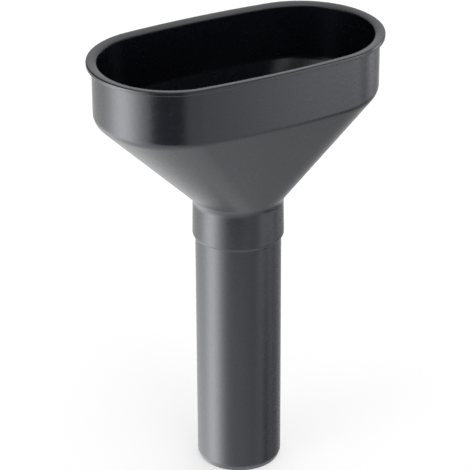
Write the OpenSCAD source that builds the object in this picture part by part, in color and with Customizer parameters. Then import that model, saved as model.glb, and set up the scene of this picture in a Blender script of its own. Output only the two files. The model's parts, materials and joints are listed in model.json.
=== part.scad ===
// Oval funnel for a waste pipe, moulded in one piece. An open oval cup with a rounded lip
// bends into a cone, the cone runs into a round collar, and a plain spigot hangs below it.
// The funnel stands on the spigot's end. The origin is the middle of that end, +Z is up,
// and the long way of the oval lies along X.

/* [Cup] */
// Length over the lip
lip_length = 178; // [150:1:220]
// Width over the lip
lip_width = 99; // [92:1:130]
// How far the middle of each long side bows out from straight
side_bow = 1.8; // [0.6:0.1:4]
// How far the lip stands out from the wall
lip_overhang = 3; // [2:0.1:5]
// Thickness of the lip
lip_thickness = 2; // [1.6:0.1:3]
// Wall thickness of the cup and the cone
wall = 2.9; // [2.4:0.1:3.4]

/* [Heights] */
// Height of the lip above the spigot's end
total_height = 265; // [256:1:300]
// Height at which the wall bends into the cone
shoulder_height = 231; // [215:1:240]
// Height at which the cone meets the collar
foot_height = 172; // [165:1:185]
// Height of the collar's lower edge
collar_base = 148; // [120:1:155]

/* [Bends] */
// Outside radius of the bend between the wall and the cone
shoulder_radius = 8; // [6:0.5:12]
// Outside radius of the hollow between the cone and the collar
foot_radius = 9; // [4:0.5:12]

/* [Pipe end] */
// Outside diameter of the spigot
spigot_d = 50; // [40:1:52]
// Wall thickness of the spigot
spigot_wall = 3; // [2.4:0.1:4]
// How far the collar's lower edge stands out from the spigot
collar_step = 1.6; // [1.2:0.1:3]
// How much wider in radius the collar is at its lower edge than at the cone
collar_draft = 0.3; // [0:0.1:0.8]
// Width of the bevel round the spigot's end
bevel_w = 1; // [0.4:0.1:1.4]
// Height of the bevel round the spigot's end
bevel_h = 3; // [1:0.1:6]

/* [Hidden] */

// The plan of the wall has two end arcs and two long side arcs that meet with one normal.
// Every level of the funnel is that plan with its centres drawn together by a share s and
// its arcs set to a radius r, so it is fully round where s is 0.
end_radius = lip_width/2 - side_bow - lip_overhang;
end_centre = lip_length/2 - lip_overhang - end_radius;
join_angle = 90 - 2*atan(side_bow/end_centre);
side_reach = end_centre/cos(join_angle);
side_drop = end_centre*tan(join_angle);

// The collar, from its rounded lower edge up to the cone's foot
collar_edge_r = spigot_d/2 + collar_step;
collar_round = 0.75*collar_step;
collar_r = collar_edge_r - collar_draft;

// Inside, the cone bends into a throat a little narrower than the bore, which then cuts the
// bend off almost level with itself
bore_r = spigot_d/2 - spigot_wall;
throat_r = bore_r - 0.3;
throat_height = foot_height - 1;
throat_radius = foot_radius + wall;
throat_floor = collar_base + 1;
inner_end_radius = end_radius - wall;
inner_shoulder = shoulder_height + 1;
inner_shoulder_radius = shoulder_radius - wall;

// The lip: a small round inside, a flat top, an oval round down to a blunt nose, and a
// small round where its flat underside meets the wall
edge_round = 1;
nose_drop = 1.3;
nose_round = lip_thickness - nose_drop;
root_round = 0.6;

// How far the bore runs on past the material at each end
bore_extra = 3;

// Numbers of flats: along each end arc and each side arc of the plan, across each bend,
// across each small round, and round the spigot
end_steps = 44;
side_steps = 4;
bend_steps = 5;
edge_steps = 2;
ring_fn = 96;

// Directions of the wall's normal, once round from the start of the right-hand end
normals = [
    for (half = [0, 180]) each concat(
        [for (i = [0:end_steps - 1]) half + join_angle*(2*i/end_steps - 1)],
        [for (i = [0:side_steps - 1]) half + join_angle + (180 - 2*join_angle)*i/side_steps]
    )
];

// Centre of the arc that the plan has where its normal points along a
function on_side(a) = abs(sin(a)) > sin(join_angle) + 1e-9;
function centre(a) = on_side(a)
    ? [side_reach*cos(a), side_reach*sin(a) - side_drop*sign(sin(a))]
    : [end_centre*sign(cos(a)), 0];

// Point of the level with centre share s and arc radius r at height z
function place(a, s, r, z) = [
    s*centre(a).x + r*cos(a),
    s*centre(a).y + r*sin(a),
    z
];

// Distance from the middle to the plan's tangent line whose normal points along a
function reach(a, r) = centre(a)*[cos(a), sin(a)] + r;

// A cone is given as [radius at its top, height of its top, radius and height of its foot].
// Its run is how far it comes in along the normal for each millimetre that it goes down.
outer_cone = [end_radius, shoulder_height, collar_r, foot_height];
inner_cone = [inner_end_radius, inner_shoulder, throat_r, throat_height];
function cone_height(cone) = cone[1] - cone[3];
function cone_run(a, cone) = (reach(a, cone[0]) - cone[2])/cone_height(cone);

// Point on the cone, drop below its top corner, at any height z beside it
function on_cone(a, cone, drop, z) =
    let (share = drop/cone_height(cone))
    place(a, 1 - share, cone[0] + (cone[2] - cone[0])*share, z);

// Bend of the given radius from the upright wall into the cone, from its top down
function shoulder_bend(a, cone, radius) =
    let (run = cone_run(a, cone), lean = atan(run))
    [for (i = [0:bend_steps])
        let (t = lean*i/bend_steps)
        on_cone(a, cone, radius*(1 - cos(t))/run, cone[1] + radius*(tan(lean/2) - sin(t)))];

// Hollow of the given radius from the cone into the upright collar, from its top down
function foot_bend(a, cone, radius) =
    let (run = cone_run(a, cone), lean = atan(run))
    [for (i = [0:bend_steps])
        let (t = lean*(1 - i/bend_steps))
        on_cone(a, cone, cone_height(cone) - radius*(1 - cos(t))/run,
            cone[3] + radius*(sin(t) - tan(lean/2)))];

// Part of an oval between two directions, as [distance, height] pairs
function arc(middle, half_w, half_h, from, to, steps) =
    [for (i = [0:steps])
        let (t = from + (to - from)*i/steps)
        middle + [half_w*cos(t), half_h*sin(t)]];

// Section of the lip, as [distance out from the wall's outside, height] pairs, from the
// inside over the top and back under the nose
lip_section = concat(
    arc([edge_round - wall, total_height - edge_round], edge_round, edge_round, 180, 90, edge_steps),
    arc([0, total_height - nose_drop], lip_overhang, nose_drop, 90, 0, bend_steps),
    arc([lip_overhang - nose_round, total_height - nose_drop], nose_round, nose_round, -45, -90, 1),
    arc([root_round, total_height - lip_thickness - root_round], root_round, root_round, 90, 180, 1)
);

// Section of the collar's lower edge, as [radius, height] pairs
collar_section = arc([collar_edge_r - collar_round, collar_base + collar_round],
    collar_round, collar_round, 0, -90, edge_steps);

function reverse(list) = [for (i = [len(list) - 1:-1:0]) list[i]];

// One strip of the skin: up the inside, over the lip and down the outside
function strip(a) = concat(
    [place(a, 0, throat_r, throat_floor)],
    reverse(foot_bend(a, inner_cone, throat_radius)),
    reverse(shoulder_bend(a, inner_cone, inner_shoulder_radius)),
    [for (p = lip_section) place(a, 1, end_radius + p.x, p.y)],
    shoulder_bend(a, outer_cone, shoulder_radius),
    foot_bend(a, outer_cone, foot_radius),
    [for (p = collar_section) place(a, 0, p.x, p.y)]
);

// The cup, the cone and the collar as one skin made of its strips. The skin is closed by a
// floor low in the throat and by the collar's underside, and the bore goes through both.
module cup_and_cone() {
    strips = [for (a = normals) strip(a)];
    count = len(strips);
    rows = len(strips[0]);
    function at(c, j) = (c % count)*rows + j;
    skin = [
        for (c = [0:count - 1], j = [0:rows - 2]) each [
            [at(c, j), at(c + 1, j), at(c + 1, j + 1)],
            [at(c, j), at(c + 1, j + 1), at(c, j + 1)]
        ]
    ];
    floor_face = [for (c = [count - 1:-1:0]) at(c, 0)];
    base_face = [for (c = [0:count - 1]) at(c, rows - 1)];
    polyhedron(
        points = [for (s = strips) each s],
        faces = concat(skin, [floor_face, base_face])
    );
}

// The spigot, solid, with its bevelled end and its root inside the collar
module spigot() {
    root = (collar_base + foot_height)/2;
    rotate_extrude($fn = ring_fn)
        polygon([
            [0, 0],
            [spigot_d/2 - bevel_w, 0],
            [spigot_d/2, bevel_h],
            [spigot_d/2, root],
            [0, root]
        ]);
}

// The bore, from below the spigot's end to just above the throat
module bore() {
    translate([0, 0, -bore_extra])
        cylinder(h = throat_height + 2*bore_extra, r = bore_r, $fn = ring_fn);
}

module funnel() {
    color([0.33, 0.335, 0.35])
        difference() {
            union() {
                cup_and_cone();
                spigot();
            }
            bore();
        }
}

funnel();
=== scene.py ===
# Oval waste funnel in dark anthracite polyethylene, moulded in one piece: a lipped oval cup
# that bends into a cone, a round collar, and a long plain spigot. It stands on a pale floor
# in soft studio light, seen from the photograph's angle.

import json
import math

import bpy
import numpy as np
from mathutils import Matrix, Vector


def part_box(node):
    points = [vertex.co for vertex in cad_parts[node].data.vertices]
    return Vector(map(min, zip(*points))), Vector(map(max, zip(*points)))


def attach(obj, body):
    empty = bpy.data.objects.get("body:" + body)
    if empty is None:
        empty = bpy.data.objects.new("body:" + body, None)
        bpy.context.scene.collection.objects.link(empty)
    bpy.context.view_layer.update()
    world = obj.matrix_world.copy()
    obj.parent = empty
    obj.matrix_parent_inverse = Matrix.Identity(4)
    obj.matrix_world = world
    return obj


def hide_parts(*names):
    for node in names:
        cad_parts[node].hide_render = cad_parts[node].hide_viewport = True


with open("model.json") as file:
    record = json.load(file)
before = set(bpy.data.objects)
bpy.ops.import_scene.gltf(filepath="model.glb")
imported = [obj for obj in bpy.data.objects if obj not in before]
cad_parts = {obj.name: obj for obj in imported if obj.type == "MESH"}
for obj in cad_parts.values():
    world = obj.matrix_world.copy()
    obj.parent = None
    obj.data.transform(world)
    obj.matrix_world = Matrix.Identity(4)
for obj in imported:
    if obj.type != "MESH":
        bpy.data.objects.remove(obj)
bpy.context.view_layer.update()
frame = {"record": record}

MM = 0.001
mounts = {mount["name"]: mount for mount in frame["record"]["mounts"]}
box_low, box_high = (np.array(corner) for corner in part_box("funnel"))

# Sizes that the frame gives
LIP_LENGTH, LIP_WIDTH, HEIGHT = box_high - box_low
SPIGOT_R = mounts["spigot"]["dims"]["r_mm"]*MM
BORE_R = mounts["bore"]["dims"]["r_mm"]*MM

# The cup
SIDE_BOW = 1.8*MM
WALL = 2.9*MM

# The lip: its top bends down to the inside, by an angle at its inner edge, its outer face is
# upright and its underside flat
LIP_OVERHANG = 3*MM
LIP_THICKNESS = 2.6*MM
LIP_LEAN = 22.5
LIP_INNER_ROUND = 0.8*MM
LIP_EDGE_ROUND = 0.6*MM
LIP_LOWER_ROUND = 0.5*MM
LIP_ROOT_ROUND = 0.6*MM

# Heights above the floor
SHOULDER_HEIGHT = 231*MM
FOOT_HEIGHT = 172*MM
COLLAR_BASE = 148*MM
THROAT_HEIGHT = FOOT_HEIGHT - 1*MM
INNER_SHOULDER = SHOULDER_HEIGHT + 1*MM

# Bends and rounds
SHOULDER_RADIUS = 8*MM
FOOT_RADIUS = 9*MM
COLLAR_STEP = 1.6*MM
COLLAR_DRAFT = 0.3*MM
COLLAR_ROUND = 1.2*MM
COLLAR_ROOT_ROUND = 0.3*MM
BEVEL_WIDTH = 1*MM
BEVEL_HEIGHT = 3*MM
END_ROUND = 0.35*MM

# The plan's arcs: two round ends and two shallow sides that meet them with one normal
END_R = LIP_WIDTH/2 - SIDE_BOW - LIP_OVERHANG
END_CENTRE = LIP_LENGTH/2 - LIP_OVERHANG - END_R
JOIN_ANGLE = math.pi/2 - 2*math.atan(SIDE_BOW/END_CENTRE)
SIDE_REACH = END_CENTRE/math.cos(JOIN_ANGLE)
SIDE_DROP = END_CENTRE*math.tan(JOIN_ANGLE)
COLLAR_EDGE_R = SPIGOT_R + COLLAR_STEP
COLLAR_R = COLLAR_EDGE_R - COLLAR_DRAFT

# Steps of the surface: along each end arc and each side arc, and across the bends
END_STEPS = 150
SIDE_STEPS = 30
BEND_STEPS = 12
ROUND_STEPS = 5


# Shape

def plan_angles():
    """Directions of the wall's normal, once round: evenly spaced along each of the four arcs."""
    end = np.linspace(-JOIN_ANGLE, JOIN_ANGLE, END_STEPS, endpoint=False)
    side = np.linspace(JOIN_ANGLE, math.pi - JOIN_ANGLE, SIDE_STEPS, endpoint=False)
    half = np.concatenate([end, side])
    return np.concatenate([half, half + math.pi])


ANGLES = plan_angles()
NORMALS = np.stack([np.cos(ANGLES), np.sin(ANGLES)], axis=1)


def plan_centres():
    """Centre of the arc at each normal: the end's own centre, or, on a side, a point far over
    on the other side, at side reach times the normal, less the side drop."""
    cos, sin = NORMALS.T
    on_side = np.abs(sin) > math.sin(JOIN_ANGLE)
    x = np.where(on_side, SIDE_REACH*cos, END_CENTRE*np.sign(cos))
    y = np.where(on_side, SIDE_REACH*sin - SIDE_DROP*np.sign(sin), 0)
    return np.stack([x, y], axis=1)


CENTRES = plan_centres()


def level(share, radius, height):
    """One or more rings. A ring is the plan with its centres at a share of their distance and
    its arcs at a radius: point = share*centre + radius*normal, at a height."""
    shape = np.broadcast_shapes(*(np.shape(part) for part in (share, radius, height)))
    full = [np.broadcast_to(part, shape) for part in (share, radius, height)]
    rings = np.stack(full, axis=-1)
    if rings.ndim == 2:
        rings = np.repeat(rings[:, None, :], len(ANGLES), axis=1)
    return rings


def section(share, radii, heights):
    """Rings with one share of the centres, following a section given as radii and heights."""
    return level(share, np.asarray(radii, float), np.asarray(heights, float))


def arc(middle, radius, start, end, steps=ROUND_STEPS):
    """Part of a circle in section: middle + radius*(cos t, sin t), with t in degrees."""
    t = np.radians(np.linspace(start, end, steps + 1))
    return middle[0] + radius*np.cos(t), middle[1] + radius*np.sin(t)


def run_on(*arcs):
    """One section out of arcs that run on from one another, with no point of it twice."""
    first, *others = [np.stack(part) for part in arcs]
    return np.concatenate([first] + [part[:, 1:] for part in others], axis=1)


def straight(first, last, steps):
    """Rings between two rings on straight lines, crowded at both ends as a cosine does, so
    that the shading of the bends doesn't run into the flats."""
    t = (1 - np.cos(np.linspace(0, math.pi, steps + 1)[1:-1]))/2
    return first + (last - first)*t[:, None, None]


def cone_run(cone):
    """How far the cone comes in along each normal for one unit down."""
    top_r, top, foot_r, foot = cone
    reach = (CENTRES*NORMALS).sum(axis=1) + top_r
    return (reach - foot_r)/(top - foot)


def on_cone(cone, drop, height):
    """Rings of the cone at a drop below its top corner, moved to a height beside it."""
    top_r, top, foot_r, foot = cone
    share = drop/(top - foot)
    return level(1 - share, top_r + (foot_r - top_r)*share, height)


def shoulder_bend(cone, radius):
    """Bend from the upright wall into the cone, from its top down. At each normal the cone
    leans by a = atan(run), and the bend turns through t = 0..a on a circle of the radius."""
    run = cone_run(cone)
    lean = np.arctan(run)
    t = np.linspace(0, 1, BEND_STEPS + 1)[:, None]*lean
    drop = radius*(1 - np.cos(t))/run
    return on_cone(cone, drop, cone[1] + radius*(np.tan(lean/2) - np.sin(t)))


def foot_bend(cone, radius):
    """Bend from the cone into the upright below it, from its top down, on the same circle."""
    run = cone_run(cone)
    lean = np.arctan(run)
    t = np.linspace(1, 0, BEND_STEPS + 1)[:, None]*lean
    drop = (cone[1] - cone[3]) - radius*(1 - np.cos(t))/run
    return on_cone(cone, drop, cone[3] + radius*(np.sin(t) - np.tan(lean/2)))


def joined(parts):
    """Rings of all the stretches, with a run of straight lines wherever two stretches are
    given with a number of steps between them."""
    rings = [parts[0]]
    for steps, part in zip(parts[1::2], parts[2::2]):
        if steps > 1:
            rings.append(straight(rings[-1][-1:], part[:1], steps))
        rings.append(part)
    return np.concatenate(rings)


def funnel_rings():
    """Every ring of the funnel's skin: up the bore and the inside, over the lip, down the
    outside and round the spigot's end."""
    inner_cone = (END_R - WALL, INNER_SHOULDER, BORE_R, THROAT_HEIGHT)
    outer_cone = (END_R, SHOULDER_HEIGHT, COLLAR_R, FOOT_HEIGHT)
    lip_nose = END_R + LIP_OVERHANG
    crown = lip_nose - LIP_EDGE_ROUND
    inner = END_R - WALL + LIP_INNER_ROUND
    top_round = LIP_INNER_ROUND + (crown - inner)/math.sin(math.radians(LIP_LEAN))
    top_centre = (crown, HEIGHT - top_round)
    inner_height = (crown - inner)/math.tan(math.radians(LIP_LEAN))
    lip_in = arc((inner, top_centre[1] + inner_height), LIP_INNER_ROUND, 180, 90 + LIP_LEAN)
    lip_top = arc(top_centre, top_round, 90 + LIP_LEAN, 90, 6)
    lip_edge = arc((crown, HEIGHT - LIP_EDGE_ROUND), LIP_EDGE_ROUND, 90, 0, 7)
    lip_low = arc((lip_nose - LIP_LOWER_ROUND, HEIGHT - LIP_THICKNESS + LIP_LOWER_ROUND),
                  LIP_LOWER_ROUND, 0, -90)
    lip_root = arc((END_R + LIP_ROOT_ROUND, HEIGHT - LIP_THICKNESS - LIP_ROOT_ROUND),
                   LIP_ROOT_ROUND, 90, 180)
    collar_edge = arc((COLLAR_EDGE_R - COLLAR_ROUND, COLLAR_BASE + COLLAR_ROUND),
                      COLLAR_ROUND, 0, -90)
    collar_root = arc((SPIGOT_R + COLLAR_ROOT_ROUND, COLLAR_BASE - COLLAR_ROOT_ROUND),
                      COLLAR_ROOT_ROUND, 90, 180, 3)
    bevel_top = ([SPIGOT_R], [BEVEL_HEIGHT])
    end_out = arc((SPIGOT_R - BEVEL_WIDTH - END_ROUND, END_ROUND), END_ROUND, 15, -90, 3)
    end_in = arc((BORE_R + END_ROUND, END_ROUND), END_ROUND, -90, -180, 3)
    return joined([
        section(0, *end_in), 16,
        foot_bend(inner_cone, FOOT_RADIUS + WALL)[::-1], 14,
        shoulder_bend(inner_cone, SHOULDER_RADIUS - WALL)[::-1], 10,
        section(1, *run_on(lip_in, lip_top, lip_edge)), 4,
        section(1, *lip_low), 4,
        section(1, *lip_root), 12,
        shoulder_bend(outer_cone, SHOULDER_RADIUS), 14,
        foot_bend(outer_cone, FOOT_RADIUS), 8,
        section(0, *collar_edge), 1,
        section(0, *collar_root), 18,
        section(0, *bevel_top), 4,
        section(0, *end_out),
    ])


def skin_points(rings):
    """Points of the rings, by the rule in level's words."""
    share, radius, height = np.moveaxis(rings, -1, 0)
    flat = share[..., None]*CENTRES + radius[..., None]*NORMALS
    return np.concatenate([flat, height[..., None]], axis=-1)


def closed_skin(name, grid):
    """A mesh whose grid of points closes on itself both ways, as the skin of a ring does."""
    rows, columns = grid.shape[:2]
    index = np.arange(rows*columns).reshape(rows, columns)
    over = np.roll(index, -1, axis=0)
    corners = [index, over, np.roll(over, -1, axis=1), np.roll(index, -1, axis=1)]
    quads = np.stack(corners, axis=-1).reshape(-1, 4)
    mesh = bpy.data.meshes.new(name)
    mesh.from_pydata(grid.reshape(-1, 3), [], quads)
    mesh.polygons.foreach_set("use_smooth", np.ones(len(quads), bool))
    mesh.update()
    piece = bpy.data.objects.new(name, mesh)
    bpy.context.collection.objects.link(piece)
    return piece


# Materials

def node(tree, kind, inputs=None, **settings):
    """A node with its settings and its inputs, each a plain value or another node's output."""
    made = tree.nodes.new(kind)
    for key, value in settings.items():
        setattr(made, key, value)
    for key, value in (inputs or {}).items():
        if isinstance(value, bpy.types.NodeSocket):
            tree.links.new(value, made.inputs[key])
        else:
            made.inputs[key].default_value = value
    return made


def moulded_polyethylene():
    """Dark anthracite polyethylene from a fine satin mould."""
    material = bpy.data.materials.new("anthracite_polyethylene")
    material.use_nodes = True
    tree = material.node_tree
    shader = tree.nodes["Principled BSDF"]
    place = node(tree, "ShaderNodeTexCoord").outputs["Object"]

    def noise(scale, detail, roughness=0.5):
        return node(tree, "ShaderNodeTexNoise",
                    {"Vector": place, "Scale": scale, "Detail": detail, "Roughness": roughness})

    def between(value, low, high):
        return node(tree, "ShaderNodeMapRange",
                    {"Value": value, "To Min": low, "To Max": high}).outputs["Result"]

    mottle = noise(60, 4, 0.6)
    tint = node(tree, "ShaderNodeMix", {"Factor": mottle.outputs["Fac"],
                "A": (0.0045, 0.0052, 0.0085, 1), "B": (0.0062, 0.0071, 0.0112, 1)},
                data_type="RGBA")
    tree.links.new(tint.outputs["Result"], shader.inputs["Base Color"])
    cloud = noise(260, 3, 0.6)
    tree.links.new(between(cloud.outputs["Fac"], 0.22, 0.31), shader.inputs["Roughness"])
    grain = noise(2600, 2, 0.6)
    fine = node(tree, "ShaderNodeBump", {"Height": grain.outputs["Fac"],
                "Strength": 0.1, "Distance": 0.05*MM})
    blotch = noise(400, 2, 0.5)
    bump = node(tree, "ShaderNodeBump", {"Height": blotch.outputs["Fac"],
                "Strength": 0.3, "Distance": 0.1*MM, "Normal": fine.outputs["Normal"]})
    tree.links.new(bump.outputs["Normal"], shader.inputs["Normal"])
    shader.inputs["IOR"].default_value = 1.5
    shader.inputs["Specular Tint"].default_value = (0.93, 0.95, 1, 1)
    return material


# The white surround that lights the object: its lamps and flags, each with the turn and lift of
# its middle and its half width, in degrees, and how much brighter it is than the white
SURROUND = {
    "left_lamp": (168.0, -22.5, 23.3, 8.08),
    "front_lamp": (319.1, -11.5, 17.4, 9.99),
    "front_flag": (225.6, 29.7, 17.2, -8.14),
    "right_flag": (319.5, -22.1, 13.1, -5.15),
    "back_lamp": (100.0, 86.8, 90.0, 2.73),
    "room": (334.0, 20.0, 73.8, -3.08),
    "ground": (280.0, -64.9, 43.2, 1.29),
    "top_flag": (132.8, 20.8, 40.9, -5.15),
    "back_spot": (1.6, -6.0, 10.7, 12.13),
    "side_lamp": (124.8, -38.4, 22.7, 2.10),
}
# The black card on the floor before the object: its turn, its half width in degrees, and how
# far from the object it starts and ends
CARD_TURN, CARD_HALF = 233.3, 23.1
CARD_NEAR, CARD_FAR = 0.45, 1.11
FLOOR_COLOUR = 0.6
FLOOR_GLOW = 0.55


def camera():
    """The photograph's camera: its direction, its distance, and where it looks, fitted to the
    object's outlines."""
    turn, lift, roll = (math.radians(angle) for angle in (-29.05, 26.68, -0.27))
    distance = 1400*MM
    aside, upward = 1.94*MM, -11.96*MM
    focal_px, frame_px = 2400.4, 470
    back = Vector((math.sin(turn)*math.cos(lift), -math.cos(turn)*math.cos(lift), math.sin(lift)))
    right = Vector((math.cos(turn), math.sin(turn), 0))
    up = back.cross(right)
    side = math.cos(roll)*right + math.sin(roll)*up
    top = math.cos(roll)*up - math.sin(roll)*right
    place = Vector((0, 0, HEIGHT/2)) + distance*back - aside*side - upward*top
    data = bpy.data.cameras.new("camera")
    data.sensor_width = 36
    data.lens = focal_px/frame_px*data.sensor_width
    data.clip_end = 50
    made = bpy.data.objects.new("camera", data)
    bpy.context.collection.objects.link(made)
    made.matrix_world = Matrix.Translation(place) @ Matrix((side, top, back)).transposed().to_4x4()
    bpy.context.scene.camera = made


def camera_path(tree):
    """1 for what the camera sees, straight or through glass, and 0 for other light."""
    path = node(tree, "ShaderNodeLightPath")
    return node(tree, "ShaderNodeMath", {0: path.outputs["Is Camera Ray"],
                1: path.outputs["Is Transmission Ray"]}, operation="MAXIMUM").outputs["Value"]


def flat_sheet(name, corners, height, colour):
    """A dull flat sheet with four corners, given anticlockwise, at a height. It returns the
    sheet and its material."""
    mesh = bpy.data.meshes.new(name)
    mesh.from_pydata([(x, y, height) for x, y in corners], [], [(0, 1, 2, 3)])
    material = bpy.data.materials.new(name)
    material.use_nodes = True
    shader = material.node_tree.nodes["Principled BSDF"]
    shader.inputs["Base Color"].default_value = (colour, colour, colour, 1)
    shader.inputs["Roughness"].default_value = 1
    shader.inputs["Specular IOR Level"].default_value = 0
    mesh.materials.append(material)
    sheet = bpy.data.objects.new(name, mesh)
    bpy.context.collection.objects.link(sheet)
    return sheet, material


def floor():
    """A plain pale floor that keeps the object's shadow: it gives back most of the light that
    falls on it, and a little white of its own to the camera. Gloss sees the surround instead."""
    sheet, material = flat_sheet("floor", [(-6, -6), (6, -6), (6, 6), (-6, 6)], 0, FLOOR_COLOUR)
    tree = material.node_tree
    shader = tree.nodes["Principled BSDF"]
    glow = node(tree, "ShaderNodeMath", {0: camera_path(tree), 1: FLOOR_GLOW},
                operation="MULTIPLY")
    shader.inputs["Emission Color"].default_value = (1, 1, 1, 1)
    tree.links.new(glow.outputs["Value"], shader.inputs["Emission Strength"])
    material.cycles.emission_sampling = "NONE"
    sheet.visible_glossy = False


def black_card():
    """A black card on the floor before the object, for the object's gloss alone."""
    spots = [(CARD_NEAR, -CARD_HALF), (CARD_FAR, -CARD_HALF), (CARD_FAR, CARD_HALF), (CARD_NEAR, CARD_HALF)]
    corners = [(far*math.cos(math.radians(CARD_TURN + off)), far*math.sin(math.radians(CARD_TURN + off)))
               for far, off in spots]
    sheet, _ = flat_sheet("black_card", corners, 0.5*MM, 0)
    sheet.visible_camera = False
    sheet.visible_diffuse = False
    sheet.visible_transmission = False
    sheet.visible_shadow = False


def soft_spot(tree, view, turn, lift, width, glow):
    """A soft round lamp or flag in the surround. With c the cosine of the angle between the view
    and its middle, it adds glow*exp((c - 1)*2/width^2), the width in radians."""
    turn, lift, width = (math.radians(angle) for angle in (turn, lift, width))
    middle = (math.cos(turn)*math.cos(lift), math.sin(turn)*math.cos(lift), math.sin(lift))
    c = node(tree, "ShaderNodeVectorMath", {0: view, 1: middle}, operation="DOT_PRODUCT")
    sharp = 2/width**2
    power = node(tree, "ShaderNodeMath", {0: c.outputs["Value"], 1: sharp, 2: -sharp},
                 operation="MULTIPLY_ADD")
    bell = node(tree, "ShaderNodeMath", {0: power.outputs["Value"]}, operation="EXPONENT")
    return node(tree, "ShaderNodeMath", {0: bell.outputs["Value"], 1: glow},
                operation="MULTIPLY").outputs["Value"]


def studio():
    """A white surround, plain to the camera, with soft lamps and flags in it for the object."""
    world = bpy.data.worlds.new("studio")
    bpy.context.scene.world = world
    world.use_nodes = True
    tree = world.node_tree
    view = node(tree, "ShaderNodeTexCoord").outputs["Generated"]
    level = 1.0
    for spot in SURROUND.values():
        level = node(tree, "ShaderNodeMath", {0: level, 1: soft_spot(tree, view, *spot)},
                     operation="ADD").outputs["Value"]
    level = node(tree, "ShaderNodeMath", {0: level, 1: 0.0}, operation="MAXIMUM").outputs["Value"]
    strength = node(tree, "ShaderNodeMix", {"Factor": camera_path(tree), "A": level, "B": 1.0},
                    data_type="FLOAT").outputs["Result"]
    tree.links.new(strength, tree.nodes["Background"].inputs["Strength"])
    tree.nodes["Background"].inputs["Color"].default_value = (1, 1, 1, 1)
    world.cycles.sampling_method = "NONE"
    floor()
    black_card()
    bpy.context.scene.view_settings.view_transform = "Standard"


funnel = closed_skin("oval_funnel", skin_points(funnel_rings()))
funnel.data.materials.append(moulded_polyethylene())
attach(funnel, "root")
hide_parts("funnel")

camera()
studio()
